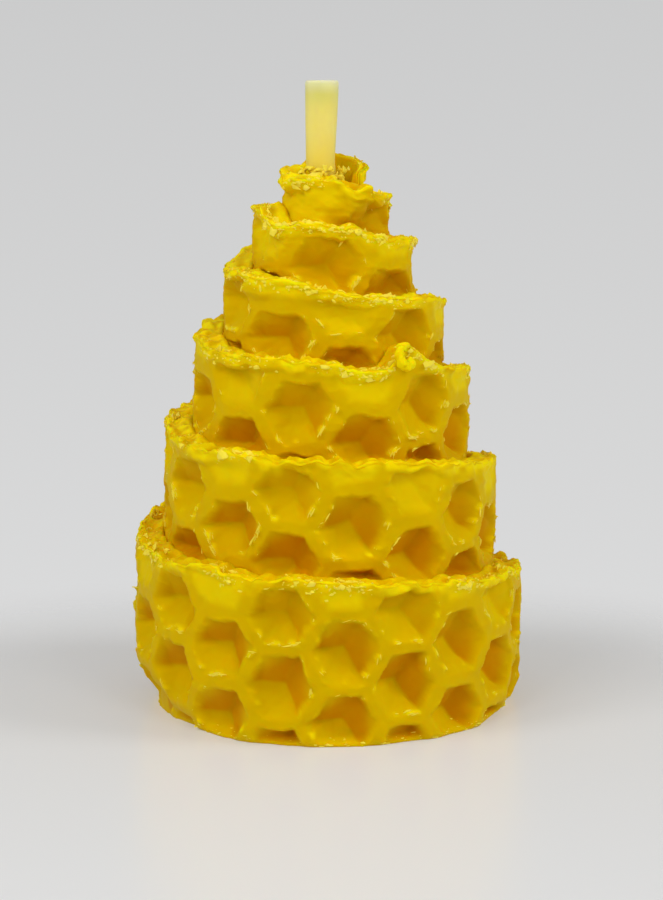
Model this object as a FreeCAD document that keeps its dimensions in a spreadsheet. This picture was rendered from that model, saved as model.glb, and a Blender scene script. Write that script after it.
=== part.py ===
# Rolled honeycomb candle, in millimetres.
#
# One strip of embossed wax sheet stands on its straight edge and is rolled round a waxed wick.
# Its upper edge was cut on a diagonal, so each turn towards the wick stands higher than the last.
# Origin: the middle of the roll on the base plane, +Z up the wick, -Y towards the viewer's side.
#
# Along the strip everything is measured in turns: 0 is on the +X side of the outermost turn,
# and the count grows inwards, by way of the front (-Y), the left (-X) and the back (+Y).

import FreeCAD, Part
import math
import os

Vector = FreeCAD.Vector

DIMENSIONS = [
    # alias, value, meaning
    ("outer_radius", 15.84, "outer face of the strip at turn 0"),
    ("turn_pitch", 2.233, "the roll's radius lost in one turn"),
    ("turn_gap", 0.08, "clearance between two turns"),
    ("tail_turns", 0.22, "strip outside turn 0, ending at the back"),
    ("rolled_turns", 6.0, "turn at which the strip's inner end lies"),
    ("taper_turns", 1.0, "length of the pinched inner end, in turns"),
    ("end_thickness", 0.9, "sheet thickness at the pinched inner end"),
    ("lean", 0.0193, "sideways drift of the roll to +X per mm of height"),
    ("rim_start", 9.95, "height of the cut edge at turn 0"),
    ("rim_slope", 0.1036, "rise of the cut edge per mm of strip"),
    ("rim_tilt", 0.053, "side to side tilt of the cut edge"),
    ("rim_tilt_turns", 4.93, "turns over which that tilt swings over"),
    ("cell_pitch", 5.4, "one row of cells to the next"),
    ("cell_wall", 0.95, "wall between two cells at the face"),
    ("cell_depth", 1.15, "depth of a cell's six corners at the floor's edge"),
    ("floor_relief", 0.35, "half the height of the three-rhomb floor"),
    ("cell_taper", 0.8, "a cell's size at the floor, as a share of its mouth"),
    ("cutter_lift", 0.6, "how far a cell's cutter stands out of the sheet"),
    ("column_start", 25.57, "strip length from turn 0 to column 0"),
    ("column_spacing", 4.516, "one column of cells to the next, along the strip's middle"),
    ("column_growth", 0.00054, "stretch of the column spacing, per column squared"),
    ("row_start", 6.56, "height of the top of row 0 in column 0"),
    ("row_creep", 2.5, "half the drop of the rows along the strip"),
    ("creep_middle", 114.5, "strip length at which that drop is half done"),
    ("creep_length", 51.7, "strip length over which the rows drop"),
    ("rim_margin", 0.9, "solid edge left above the cells"),
    ("wick_radius", 1.28, "outside of the waxed wick"),
    ("core_radius", 0.8, "cotton cord inside the wax"),
    ("wick_height", 48.5, "cut end of the wick above the base"),
    ("wick_shift", 0.15, "the wick's distance from the middle of the roll, to +X"),
    ("curl_turn", 2.15, "place of the wax shaving along the strip"),
    ("curl_radius", 0.85, "middle radius of the curled shaving"),
    ("curl_thickness", 0.75, "diameter of the curled shaving's section"),
    ("curl_sweep", 300.0, "degrees that the shaving curls through"),
]

STEPS_PER_TURN = 24      # points that carry the spiral's curves round one turn
PANELS_PER_TURN = 2      # faces per turn on each side of the strip

document = FreeCAD.newDocument("rolled_candle")
sheet = document.addObject("Spreadsheet::Sheet", "dimensions")
for row, (alias, value, meaning) in enumerate(DIMENSIONS, start=1):
    sheet.set(f"A{row}", str(value))
    sheet.set(f"B{row}", meaning)
    sheet.setAlias(f"A{row}", alias)
document.recompute()


def size(alias):
    """A driving dimension, read from the sheet."""
    return float(sheet.get(alias))


# ---- the rolled strip's geometry ----

def face_radius(turn):
    """Radius of the strip's outer face."""
    return size("outer_radius") - size("turn_pitch") * turn


def thickness(turn):
    """Sheet thickness: constant, then pinched thinner up to the inner end."""
    full = size("turn_pitch") - size("turn_gap")
    taper_start = size("rolled_turns") - size("taper_turns")
    share = max(0.0, (turn - taper_start) / size("taper_turns"))
    return full + (size("end_thickness") - full) * share


def strip_length(turn):
    """Length along the middle of the strip, from turn 0."""
    middle_radius = size("outer_radius") - size("turn_pitch") / 2
    return 2 * math.pi * (middle_radius * turn - size("turn_pitch") * turn * turn / 2)


def turn_at(length):
    """The turn at a given strip length: strip_length turned round."""
    middle_radius = size("outer_radius") - size("turn_pitch") / 2
    root = middle_radius * middle_radius - size("turn_pitch") * length / math.pi
    return (middle_radius - math.sqrt(max(root, 0.0))) / size("turn_pitch")


def rim_height(turn):
    """Height of the cut edge: the diagonal cut, and a slight tilt that swings over up the roll."""
    swing = size("rim_tilt") * math.cos(math.pi * turn / size("rim_tilt_turns"))
    sideways = face_radius(turn) * math.cos(2 * math.pi * turn)
    return size("rim_start") + size("rim_slope") * strip_length(turn) + swing * sideways


def place(turn, radius, height):
    """A point of the roll, with its lean."""
    angle = -2 * math.pi * turn
    return Vector(radius * math.cos(angle) + size("lean") * height, radius * math.sin(angle), height)


def panel_turns():
    """First and last turn of each panel, from the outer end to the inner end."""
    first = -size("tail_turns")
    count = round((size("rolled_turns") - first) * PANELS_PER_TURN)
    length = (size("rolled_turns") - first) / count
    return [(first + i * length, first + (i + 1) * length) for i in range(count)]


def spiral_edge(start, end, inside, on_rim):
    """One panel's edge: on the outer or inner face, along the base or along the cut edge."""
    steps = round((end - start) * STEPS_PER_TURN)
    points = []
    for i in range(steps + 1):
        turn = start + (end - start) * i / steps
        radius = face_radius(turn) - (thickness(turn) if inside else 0.0)
        height = rim_height(turn) if on_rim else 0.0
        points.append(place(turn, radius, height))
    curve = Part.BSplineCurve()
    curve.interpolate(points)
    return curve.toShape()


def plain_strip():
    """The rolled strip with smooth faces, as one closed solid."""
    faces = []
    for start, end in panel_turns():
        outer_base = spiral_edge(start, end, False, False)
        outer_rim = spiral_edge(start, end, False, True)
        inner_base = spiral_edge(start, end, True, False)
        inner_rim = spiral_edge(start, end, True, True)
        faces.append(Part.makeRuledSurface(outer_base, outer_rim))
        faces.append(Part.makeRuledSurface(inner_base, inner_rim))
        faces.append(Part.makeRuledSurface(outer_rim, inner_rim))
        faces.append(Part.makeRuledSurface(outer_base, inner_base))
    for turn in (-size("tail_turns"), size("rolled_turns")):
        outside = face_radius(turn)
        inside = outside - thickness(turn)
        corners = [place(turn, outside, 0), place(turn, outside, rim_height(turn)),
                   place(turn, inside, rim_height(turn)), place(turn, inside, 0)]
        faces.append(Part.Face(Part.makePolygon(corners + corners[:1])))
    return closed_solid(faces)


# ---- the cells ----

def column_length(column):
    """Strip length at the middle of a column of cells."""
    spread = size("column_growth") * column * column
    return size("column_start") + size("column_spacing") * column + spread


def cell_height(column, row):
    """Height of a cell's middle; odd columns stand half a cell higher, and the rows creep down."""
    start = size("column_start")
    creep = (math.tanh((column_length(column) - size("creep_middle")) / size("creep_length"))
             - math.tanh((start - size("creep_middle")) / size("creep_length")))
    top = size("row_start") - size("row_creep") * creep
    top += (row + (column % 2) / 2) * size("cell_pitch")
    return top - (size("cell_pitch") - size("cell_wall")) / 2


def hexagon(half_width, half_height, depths):
    """Six corners, level at top and bottom. X is minus the depth, and the depths alternate."""
    corners = []
    for i in range(6):
        angle = math.radians(60 * i)
        across = half_width * math.cos(angle)
        up = half_height * math.sin(angle) / math.sin(math.radians(60))
        corners.append(Vector(-depths[i % 2], across, up))
    return corners


def triangle(first, second, third):
    """A flat three-cornered face."""
    return Part.Face(Part.makePolygon([first, second, third, first]))


def closed_solid(faces):
    """A solid of faces that share their edges."""
    shell = Part.Shell(faces)
    shell.sewShape()
    solid = Part.Solid(shell)
    if solid.Volume < 0:
        solid.reverse()
    return solid


def cell_cutter(turn):
    """The hollow of one cell at its own origin: a six-sided funnel with a floor of three rhombs."""
    radius = face_radius(turn)
    stretch = radius / (radius - size("turn_pitch") / 2)
    half_width = size("column_spacing") * stretch * 2 / 3 - size("cell_wall") / 2
    half_height = (size("cell_pitch") - size("cell_wall")) / 2
    lift = size("cutter_lift")
    taper = size("cell_taper")
    flare = 1 + (1 - taper) * lift / size("cell_depth")
    shallow = size("cell_depth") - size("floor_relief")
    deepest = size("cell_depth") + size("floor_relief")
    mouth = hexagon(half_width * flare, half_height * flare, (-lift, -lift))
    floor = hexagon(half_width * taper, half_height * taper, (shallow, size("cell_depth")))
    middle = Vector(-deepest, 0, 0)
    faces = [Part.Face(Part.makePolygon(mouth + mouth[:1]))]
    for i in range(6):
        after = (i + 1) % 6
        faces.append(triangle(mouth[i], mouth[after], floor[i]))
        faces.append(triangle(mouth[after], floor[after], floor[i]))
        faces.append(triangle(floor[i], floor[after], middle))
    return closed_solid(faces)


def cell_rows(column, lowest, highest):
    """Heights of the cells in one column whose middles lie in a span of heights."""
    base = cell_height(column, 0)
    first = math.ceil((lowest - base) / size("cell_pitch"))
    last = math.floor((highest - base) / size("cell_pitch"))
    return [cell_height(column, row) for row in range(first, last + 1)]


def column_cutters(column):
    """The cells of one column that show: above the next turn outside, below the cut edge."""
    turn = turn_at(column_length(column))
    covered = turn - 1 > -size("tail_turns")
    lowest = rim_height(turn - 1) if covered else 0.0
    highest = rim_height(turn) - size("rim_margin")
    half_height = (size("cell_pitch") - size("cell_wall")) / 2
    reach = 2 * size("outer_radius")
    below_rim = Part.makeBox(2 * reach, 2 * reach, highest, Vector(-reach, -reach, 0))
    cutters = []
    for height in cell_rows(column, lowest - half_height, highest):
        cutter = cell_cutter(turn)
        facing = FreeCAD.Rotation(Vector(0, 0, 1), -360 * turn)
        cutter.Placement = FreeCAD.Placement(place(turn, face_radius(turn), height), facing)
        if height + half_height > highest:
            cutter = cutter.common(below_rim)
        cutters.append(cutter)
    return cutters


def cell_cutters():
    """Every cell that can be seen, from the outer end to where the sheet is pinched thin."""
    tail_length = strip_length(-size("tail_turns"))
    first = math.ceil((tail_length - size("column_start")) / size("column_spacing")) + 1
    last_length = strip_length(size("rolled_turns") - size("taper_turns"))
    cutters = []
    column = first
    while column_length(column) < last_length:
        cutters.extend(column_cutters(column))
        column += 1
    return cutters


def make_comb_strip():
    """The rolled sheet: the plain roll with its cells cut in."""
    strip = document.addObject("Part::Feature", "comb_strip")
    strip.Shape = plain_strip().cut(cell_cutters()).Solids[0]
    strip.Placement = FreeCAD.Placement()
    return strip


# ---- the wick and the shaving ----

def wick_cylinder(name, radius_alias):
    """A round bar as long as the wick, standing on the base plane."""
    bar = document.addObject("Part::Cylinder", name)
    bar.setExpression("Radius", f"dimensions.{radius_alias}")
    bar.setExpression("Height", "dimensions.wick_height")
    return bar


def make_wick_core():
    """The cotton cord."""
    core = wick_cylinder("wick_core", "core_radius")
    core.Placement = FreeCAD.Placement(Vector(size("wick_shift"), 0, 0), FreeCAD.Rotation())
    return core


def make_wick_coat():
    """The sleeve of wax that the cord was primed with."""
    coat = document.addObject("Part::Cut", "wick_coat")
    coat.Base = wick_cylinder("wick_outside", "wick_radius")
    coat.Tool = wick_cylinder("wick_hollow", "core_radius")
    coat.Placement = FreeCAD.Placement(Vector(size("wick_shift"), 0, 0), FreeCAD.Rotation())
    return coat


def make_rim_curl():
    """The loose shaving, a bent round sliver lying on the cut edge."""
    curl = document.addObject("Part::Torus", "rim_curl")
    curl.setExpression("Radius1", "dimensions.curl_radius")
    curl.setExpression("Radius2", "dimensions.curl_thickness / 2")
    curl.setExpression("Angle3", "dimensions.curl_sweep")
    turn = size("curl_turn")
    height = rim_height(turn) + size("curl_radius") + size("curl_thickness") / 2
    radius = face_radius(turn) - thickness(turn) / 2
    facing = FreeCAD.Rotation(Vector(0, 0, 1), -360 * turn) * FreeCAD.Rotation(Vector(0, 1, 0), 90)
    curl.Placement = FreeCAD.Placement(place(turn, radius, height), facing)
    return curl


parts = [make_comb_strip(), make_wick_core(), make_wick_coat(), make_rim_curl()]
document.recompute()

for item in document.Objects:
    if "Invalid" in item.State or "Error" in item.State:
        raise RuntimeError(f"{item.Name} did not compute: {item.State}")
for part in parts:
    if part.Shape.isNull() or not part.Shape.isValid() or len(part.Shape.Solids) != 1:
        raise RuntimeError(f"{part.Label} is not one good solid")

os.makedirs("parts", exist_ok=True)
for part in parts:
    part.Label = part.Name
    part.Shape.exportStep(f"parts/{part.Label}.step")
    print(part.Label, round(part.Shape.Volume, 1), "mm3")
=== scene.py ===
import bmesh
import bpy
import math
import numpy as np
from mathutils import Matrix, Vector


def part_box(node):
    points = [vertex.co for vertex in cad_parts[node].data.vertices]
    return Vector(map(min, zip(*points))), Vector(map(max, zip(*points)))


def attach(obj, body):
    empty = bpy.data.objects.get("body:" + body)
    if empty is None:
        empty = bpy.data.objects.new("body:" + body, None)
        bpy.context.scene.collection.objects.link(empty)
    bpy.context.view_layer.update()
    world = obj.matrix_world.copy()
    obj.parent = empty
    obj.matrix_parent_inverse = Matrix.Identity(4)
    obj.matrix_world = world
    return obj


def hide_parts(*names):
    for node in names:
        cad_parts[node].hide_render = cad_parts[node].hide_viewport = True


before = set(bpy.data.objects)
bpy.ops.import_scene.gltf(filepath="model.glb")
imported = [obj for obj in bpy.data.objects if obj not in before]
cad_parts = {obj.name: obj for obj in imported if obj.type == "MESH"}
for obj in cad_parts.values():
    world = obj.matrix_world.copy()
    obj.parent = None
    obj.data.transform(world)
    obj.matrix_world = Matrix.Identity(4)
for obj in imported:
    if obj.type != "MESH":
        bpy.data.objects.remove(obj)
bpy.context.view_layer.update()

# Rolled honeycomb candle. Sizes are in millimetres, and every mesh is scaled to metres when it is made.
# A place on the strip is given by its turn (0 on the +X side outside, growing inwards by way of the front)
# or by its strip length, and by its height above the base. A depth is measured inwards from the face.
# A layer of noise has a strength, a wave length along the strip, one across it, and a seed.
MM = 0.001

# The roll, as in the CAD model.
OUTER_RADIUS = 15.84
TURN_PITCH = 2.233
TURN_GAP = 0.08
TAIL_TURNS = 0.22
ROLLED_TURNS = 6.0
TAPER_TURNS = 1.0
END_THICKNESS = 0.9
LEAN = 0.0193
RIM_START = 9.95
RIM_SLOPE = 0.1036
RIM_TILT = 0.053
RIM_TILT_TURNS = 4.93

# What the soft wax does to the roll.
SWELL = 0.06            # how much of the gap between two turns the wax fills
CORNER_RADIUS = 0.2     # rounding of the rim's two edges
THINNEST_WALL = 0.25    # wax left behind a cell where the roll's foot is worn
PACKED_START = (5.02, 5.12)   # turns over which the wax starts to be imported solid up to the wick
PACKED_END = (5.60, 5.68)     # turns over which that ends
PACKED_RADIUS = 1.2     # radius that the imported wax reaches, just inside the wick's face
PACKED_RISE = 0.35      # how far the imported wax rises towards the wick

# The narrow top tiers are the most torn.
TOP_TIERS = 255         # strip length where they start
TOP_BLEND = 25          # strip length over which they get to their full tearing

# How ragged the torn edge is all along, in layers of noise.
RAGGED_RIM = [(0.20, 2.6, 1, 1), (0.19, 0.9, 1, 2), (0.09, 0.4, 1, 3)]

# Where the torn edge strays further from the straight cut: turn, rise, half width in turns.
RIM_STRAYS = [
    (5.76, 1.65, 0.16), (5.52, 0.55, 0.08), (5.24, 0.8, 0.15), (5.05, 0.3, 0.05), (4.42, 0.4, 0.05),
    (3.47, -0.8, 0.05), (3.12, -0.4, 0.13), (2.41, -0.4, 0.07), (1.41, -0.25, 0.05),
]

# Where the rim is folded outwards into a thick lip: turn, half width in turns, fold, height of the fold.
RIM_LIPS = [
    (5.42, 0.05, 0.45, 1.3), (4.37, 0.05, 0.3, 1.2), (3.35, 0.055, 0.5, 1.7), (2.34, 0.07, 0.3, 1.1),
    (1.37, 0.05, 0.3, 1.2),
]

# The tongue of wax that stands up from the third tier's rim, with its left edge rolled.
CURL_TURN = 2.158
CURL_RISE = 1.75
CURL_WIDTHS = (0.015, 0.031)  # half width in turns, to its left and to its right

# The flap behind the wick is bent outwards.
FLAP_TURN = 5.9
FLAP_WIDTH = 0.13
FLAP_FOOT = 39.6
FLAP_HEIGHT = 3

# The embossed cells.
CELL_PITCH = 5.4
COLUMN_START = 25.57
COLUMN_SPACING = 4.516
COLUMN_GROWTH = 0.00054
ROW_START = 6.56
ROW_CREEP = 2.5
CREEP_MIDDLE = 114.5
CREEP_LENGTH = 51.7
COLUMN_SLIDE = 0.9      # how far the columns are slid along the strip round SLIDE_MIDDLE
SLIDE_MIDDLE = 172.6
SLIDE_LENGTH = 22.0
COLUMN_WANDER = [(0.05, 4, 4, 11)]
ROW_WANDER = [(0.04, 3.5, 3.5, 12)]
CREST_WIDTH = 1.05      # top of the wall between two cells
CREST_WANDER = [(0.17, 1.7, 1.7, 13), (0.09, 0.6, 0.6, 16)]
FLOOR_DEPTH = 1.95      # deepest point of a cell, in its middle
FLOOR_SPREAD = 0.12     # how much that depth differs from cell to cell
FLOOR_SLOPE = 0.72      # fall of the three rhombs towards that point
WALL_SLOPE = 3.2        # fall of the walls
RAMP_SLOPE = 1.1        # fall of the walls at the lower left, which run on into their rhomb
RAMP_REACH = 0.15       # how far that ramp cuts into the crest
RAMP_SIDE = (0.15, 0.65)      # shares of the lower left in a direction over which the ramp starts
CREST_SHARPNESS = 10.0  # the larger, the tighter the bend from the crest into the wall
RHOMB_SHARPNESS = 9.0   # the same between two rhombs
FOOT_SHARPNESS = 22.0   # the same between wall and floor
CUT_CELLS = (0.1, 2.8)  # cells whose middle is this far below the rim go from pressed flat to whole
PRESSED_SHARE = 0.12    # depth that a cell keeps when it is pressed flat, at the cut or at the base
WHOLE_SHARE = 1 - PRESSED_SHARE
BURR_WIDTH = 0.17       # half width of the line of dry wax on a crest's edge, which also paints a highlight along it
BURR_HEIGHT = 0.2
BURR_PATCHES = [(2.2, 0.6, 0.45, 15)]
BURR_GAPS = 0.35        # the larger, the more of the edges have none
BURR_ABOVE = 0.35       # how much of it a cell's upper edges have
SHADE_DEPTHS = (0.1, 1.0)      # depths over which the wax gets its painted shade, a deep orange
LIGHT_RHOMB = (-0.4, 0.05)    # distances to the lower left rhomb, which faces the light and has no painted shade, over which the shade fades
PRESSED_COLOUR = (-0.2, 0.5)  # distances inside the crest over which a pressed cell turns pale

# The face of the sheet.
FULL_SHEET = 2.1        # from this thickness up, the cells have their full depth
BEAD_HEIGHT = 0.55      # solid wax under the cut edge, where no cell shows
BEAD_BLEND = 0.35
BEAD_WANDER = [(0.35, 2.2, 1, 21)]
BASE_BLEND = 0.8        # height over which the cells get to their full depth
TINT_BLEND = (0.05, 0.6)      # heights over which they get to their full painted shade
HIDDEN_FILL = (-0.15, 0.45)   # cells are filled up this far below the rim of the turn outside
MARKS = [(0.07, 0.9, 0.8, 22), (0.035, 0.36, 0.33, 23)]
TOP_MARKS = 1.3         # how much deeper these are on the top tiers
TEARS = [(0.13, 0.6, 0.4, 25), (0.07, 0.27, 0.25, 26)]
RIDGES = [(1.4, 1.1, 0.7, 29)]
RIDGE_HEIGHT = 0.14
TOP_RIDGES = 0.22       # how much higher they are on the top tiers
LIP_FOLD = 0.22         # how far the whole rim is folded outwards, here and there
LIP_WAVE = 3.1          # strip length of one such fold
TORN_START = 0.15       # depth under the rim where the torn zone starts to fade
TORN_HEIGHT = 1.1       # depth under the rim where it has gone
TORN_WANDER = [(0.5, 1.9, 1, 24)]
SHOULDER = 0.10         # how far the face draws in towards the rim
SHOULDER_HEIGHT = 1.8
THIN_ROLL = (130, 270)  # strip lengths over which the roll gets thin enough to let light into its cells
THIN_ROLL_LIGHT = 0.25  # share of the painted shade that this light takes away
NEAR_RIM = (1.5, 6.0)   # depths under the rim over which the light from above fades
NEAR_RIM_LIGHT = 0.7
STEP_FOOT = (0.2, 2.4)  # heights above the rim outside over which the painted shade at a step's foot fades
STEP_FOOT_SHADE = 0.35
PRESSED_PALE = 0.6      # share of pale dry wax, partly painted light, in a cell that is pressed flat

# The foot of the roll is worn: how far in, angle from the front to the right, half width in degrees,
# height, and how fast it ends.
WORN_PLACES = [(2.8, -72, 34, 4.6, 1.6), (0.9, 76, 16, 1.6, 1)]
WORN_ROUND = 0.25       # rounding of the foot all the way round
WORN_ROUND_HEIGHT = 0.5
WORN_SHEET = 0.3        # wax of the sheet that the wear leaves

TABLE_SIZE = 4096
HASH_PRIMES = (73856093, 19349663, 83492791)

rng = np.random.RandomState(7)
TABLE = rng.uniform(-1, 1, TABLE_SIZE)


def noise(x, y, seed=0):
    """Smooth noise in -1..1 over two coordinates, one bump per unit."""
    xi = np.floor(x).astype(np.int64)
    yi = np.floor(y).astype(np.int64)
    fx = x - xi
    fy = y - yi
    fx = fx * fx * fx * (fx * (fx * 6 - 15) + 10)
    fy = fy * fy * fy * (fy * (fy * 6 - 15) + 10)

    def corner(i, j):
        mixed = (i * HASH_PRIMES[0]) ^ (j * HASH_PRIMES[1]) ^ (seed * HASH_PRIMES[2])
        return TABLE[mixed & (TABLE_SIZE - 1)]

    low = corner(xi, yi) * (1 - fx) + corner(xi + 1, yi) * fx
    high = corner(xi, yi + 1) * (1 - fx) + corner(xi + 1, yi + 1) * fx
    return low * (1 - fy) + high * fy


def layered(layers, length, across):
    """The sum of some layers of noise."""
    total = 0
    for rise, wave, cross_wave, seed in layers:
        total = total + rise * noise(length / wave, across / cross_wave, seed)
    return total


def smoothstep(low, high, x):
    """0 below low, 1 above high, and a smooth step between them."""
    share = np.clip((x - low) / (high - low), 0, 1)
    return share * share * (3 - 2 * share)


def bump(x, middle, width):
    """A smooth bump, 1 in its middle."""
    return np.exp(-((x - middle) / width) ** 2)


# ---- the roll ----

def face_radius(turn):
    return OUTER_RADIUS - TURN_PITCH * turn


def thickness(turn):
    """Sheet thickness: constant, then pinched thinner up to the inner end."""
    full = TURN_PITCH - TURN_GAP
    share = np.maximum(0, (turn - (ROLLED_TURNS - TAPER_TURNS)) / TAPER_TURNS)
    return full + (END_THICKNESS - full) * share


def strip_length(turn):
    """Length along the middle of the strip, from turn 0."""
    middle_radius = OUTER_RADIUS - TURN_PITCH / 2
    return 2 * math.pi * (middle_radius * turn - TURN_PITCH * turn * turn / 2)


def turn_at(length):
    """The turn at a given strip length."""
    middle_radius = OUTER_RADIUS - TURN_PITCH / 2
    root = middle_radius * middle_radius - TURN_PITCH * length / math.pi
    return (middle_radius - np.sqrt(np.maximum(root, 0))) / TURN_PITCH


def top_tier(length):
    """0 on the wide tiers, 1 on the narrow top ones."""
    return smoothstep(TOP_TIERS, TOP_TIERS + TOP_BLEND, length)


def straight_rim(turn):
    """The knife's cut, without its raggedness."""
    swing = RIM_TILT * np.cos(math.pi * turn / RIM_TILT_TURNS)
    sideways = face_radius(turn) * np.cos(2 * math.pi * turn)
    return RIM_START + RIM_SLOPE * strip_length(turn) + swing * sideways


def rim_height(turn):
    """Height of the cut edge, ragged, with its strays and the tongue."""
    length = strip_length(turn)
    ragged = layered(RAGGED_RIM, length, 0 * length) * (1 + 0.9 * top_tier(length))
    strays = sum(rise * bump(turn, middle, width) for middle, rise, width in RIM_STRAYS)
    left, right = CURL_WIDTHS
    tongue = CURL_RISE * bump(turn, CURL_TURN, np.where(turn > CURL_TURN, left, right))
    return straight_rim(turn) + ragged + strays + tongue


def flap_lean(turn, height):
    """How far the flap behind the wick is bent outwards."""
    return bump(turn, FLAP_TURN, FLAP_WIDTH) * np.clip((height - FLAP_FOOT) / FLAP_HEIGHT, 0, 1)


def place(turn, radius, height):
    """Points of the roll, with its lean."""
    angle = -2 * math.pi * turn
    x = radius * np.cos(angle) + LEAN * height
    y = radius * np.sin(angle)
    return np.stack([x, y, height + 0 * x], axis=-1)


# ---- the cells ----

def column_of(length):
    """Column number at a strip length, with its fraction."""
    spread = COLUMN_SPACING ** 2 + 4 * COLUMN_GROWTH * (length - COLUMN_START)
    return (np.sqrt(spread) - COLUMN_SPACING) / (2 * COLUMN_GROWTH)


def row_base(length):
    """Height of the middle of row 0 in the even columns."""
    creep = np.tanh((length - CREEP_MIDDLE) / CREEP_LENGTH)
    creep -= math.tanh((COLUMN_START - CREEP_MIDDLE) / CREEP_LENGTH)
    return ROW_START - ROW_CREEP * creep - (CELL_PITCH - CREST_WIDTH) / 2


def soft_max(values, sharpness):
    """The largest of some values, with a rounded change from one to the next."""
    stack = np.stack(values)
    return np.log(np.sum(np.exp(stack * sharpness), axis=0)) / sharpness


def nearest_cell(column, row):
    """Of the nearest cell: distance from its middle in the hexagon's measure, offsets, column and row."""
    best = None
    for side in (0, 1):
        n = np.floor(column) + side
        odd = np.mod(n, 2) / 2
        k = np.round(row - odd)
        across = -(column - n) * CELL_PITCH * math.sqrt(3) / 2
        up = (row - k - odd) * CELL_PITCH
        reach = np.maximum(np.abs(up), np.abs(across) * math.sqrt(3) / 2 + np.abs(up) / 2)
        found = (reach, across, up, n, k)
        if best is None:
            best = found
        else:
            nearer = reach < best[0]
            best = tuple(np.where(nearer, a, b) for a, b in zip(found, best))
    return best


def cell_relief(turn, height):
    """Depth of the embossing below the face, its painted shade, and how burred or pressed flat the wax is
    there.
    """
    length = strip_length(turn)
    slide = COLUMN_SLIDE * bump(length, SLIDE_MIDDLE, SLIDE_LENGTH)
    column = column_of(length + slide) + layered(COLUMN_WANDER, length, height)
    row = (height - row_base(length)) / CELL_PITCH + layered(ROW_WANDER, length, height)
    reach, across, up, n, k = nearest_cell(column, row)
    inward = CELL_PITCH / 2 - reach
    crest = CREST_WIDTH / 2 + layered(CREST_WANDER, length, height)

    # The walls fall steeply from the crest, but at the lower left they run out as a ramp.
    third = math.sqrt(3) / 2
    low_left = -across / 2 - third * up
    ramped = smoothstep(*RAMP_SIDE, low_left / np.maximum(np.hypot(across, up), 0.1))
    slope = WALL_SLOPE + (RAMP_SLOPE - WALL_SLOPE) * ramped
    wall = soft_max([0 * inward, (inward - crest + RAMP_REACH * ramped) * slope], CREST_SHARPNESS)

    # The floor is three rhombs that fall towards the cell's middle.
    rhomb = soft_max([across, -across / 2 + third * up, low_left], RHOMB_SHARPNESS)
    own = noise(n * 1.37, k * 2.71, 14)
    floor = FLOOR_DEPTH + FLOOR_SPREAD * own - FLOOR_SLOPE * rhomb
    depth = np.maximum(-soft_max([-wall, -floor], FOOT_SHARPNESS), 0)

    below_rim = straight_rim(turn) - row_base(length) - (k + np.mod(n, 2) / 2) * CELL_PITCH
    kept = PRESSED_SHARE + WHOLE_SHARE * smoothstep(*CUT_CELLS, below_rim)
    # A raised burr of dry wax on the crest's edge, whose pale line is also a painted highlight.
    burr_and_glint = bump(inward, crest, BURR_WIDTH)
    burr_and_glint = burr_and_glint * np.clip(layered(BURR_PATCHES, length, height) - BURR_GAPS, 0, 1)
    burr_and_glint = burr_and_glint * kept * (BURR_ABOVE + (1 - BURR_ABOVE) * (up < 0))
    # Painted shade: deep orange where the cell is deep, left off the lower left rhomb, which faces the
    # light.
    shade_share = smoothstep(*SHADE_DEPTHS, depth) * (1 - smoothstep(*LIGHT_RHOMB, low_left - rhomb))
    pressed = (1 - kept) * smoothstep(*PRESSED_COLOUR, inward - crest)
    return depth * kept, shade_share * kept, burr_and_glint, pressed


# ---- the sheet's face ----

def base_inset(turn, height):
    """How far the roll's foot is worn inwards, less the turns that are worn away outside this one."""
    angle = np.mod(270 - 360 * turn, 360) - 180
    worn = sum(
        deep * bump(angle, middle, width) * np.clip(1 - height / high, 0, 1) ** fall
        for deep, middle, width, high, fall in WORN_PLACES
    )
    rounding = WORN_ROUND * np.clip(1 - height / WORN_ROUND_HEIGHT, 0, 1) ** 2
    outside = TURN_PITCH * np.floor(turn + TAIL_TURNS)
    return np.clip(worn + rounding - outside, 0, thickness(turn) - WORN_SHEET)


def opened(length, under_rim):
    """0 in the solid bead of wax under the rim, 1 where the cells show."""
    bead = BEAD_HEIGHT + layered(BEAD_WANDER, length, 0 * length)
    return smoothstep(bead, bead + BEAD_BLEND, under_rim)


def torn_share(length, under_rim):
    """1 at the torn edge, 0 under the torn zone."""
    foot = TORN_HEIGHT + layered(TORN_WANDER, length, 0 * length)
    return 1 - smoothstep(TORN_START, foot, under_rim)


def is_covered(turn):
    """Whether there is another turn outside this one."""
    return turn > 1 - TAIL_TURNS


def face_depth(turn, height):
    """Depth of the sheet's real face below the smooth roll's face."""
    length = strip_length(turn)
    cells, _, burr_and_glint, _ = cell_relief(turn, height)
    under_rim = rim_height(turn) - height
    below_outside = rim_height(turn - 1) - height
    depth = cells * opened(length, under_rim) * np.minimum(1, thickness(turn) / FULL_SHEET)
    depth = depth * (PRESSED_SHARE + WHOLE_SHARE * smoothstep(0, BASE_BLEND, height))
    depth = depth * (1 - smoothstep(*HIDDEN_FILL, below_outside) * is_covered(turn))

    marks = layered(MARKS, length, height) * (1 + TOP_MARKS * top_tier(length))
    ridges = 0.5 - np.abs(layered(RIDGES, length, height))
    torn = layered(TEARS, length, height) + (RIDGE_HEIGHT + TOP_RIDGES * top_tier(length)) * ridges
    shoulder = SHOULDER * (1 - smoothstep(0, SHOULDER_HEIGHT, under_rim))
    torn_zone = torn_share(length, under_rim)
    lip = LIP_FOLD * torn_zone * np.clip(noise(length / LIP_WAVE, 0 * length, 28), -0.3, 1)
    for middle, width, fold, tall in RIM_LIPS:
        lip = lip + fold * bump(turn, middle, width) * (1 - smoothstep(0.6 * tall, tall, under_rim))
    return depth + marks + shoulder - torn_zone * torn - BURR_HEIGHT * burr_and_glint - lip


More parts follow.
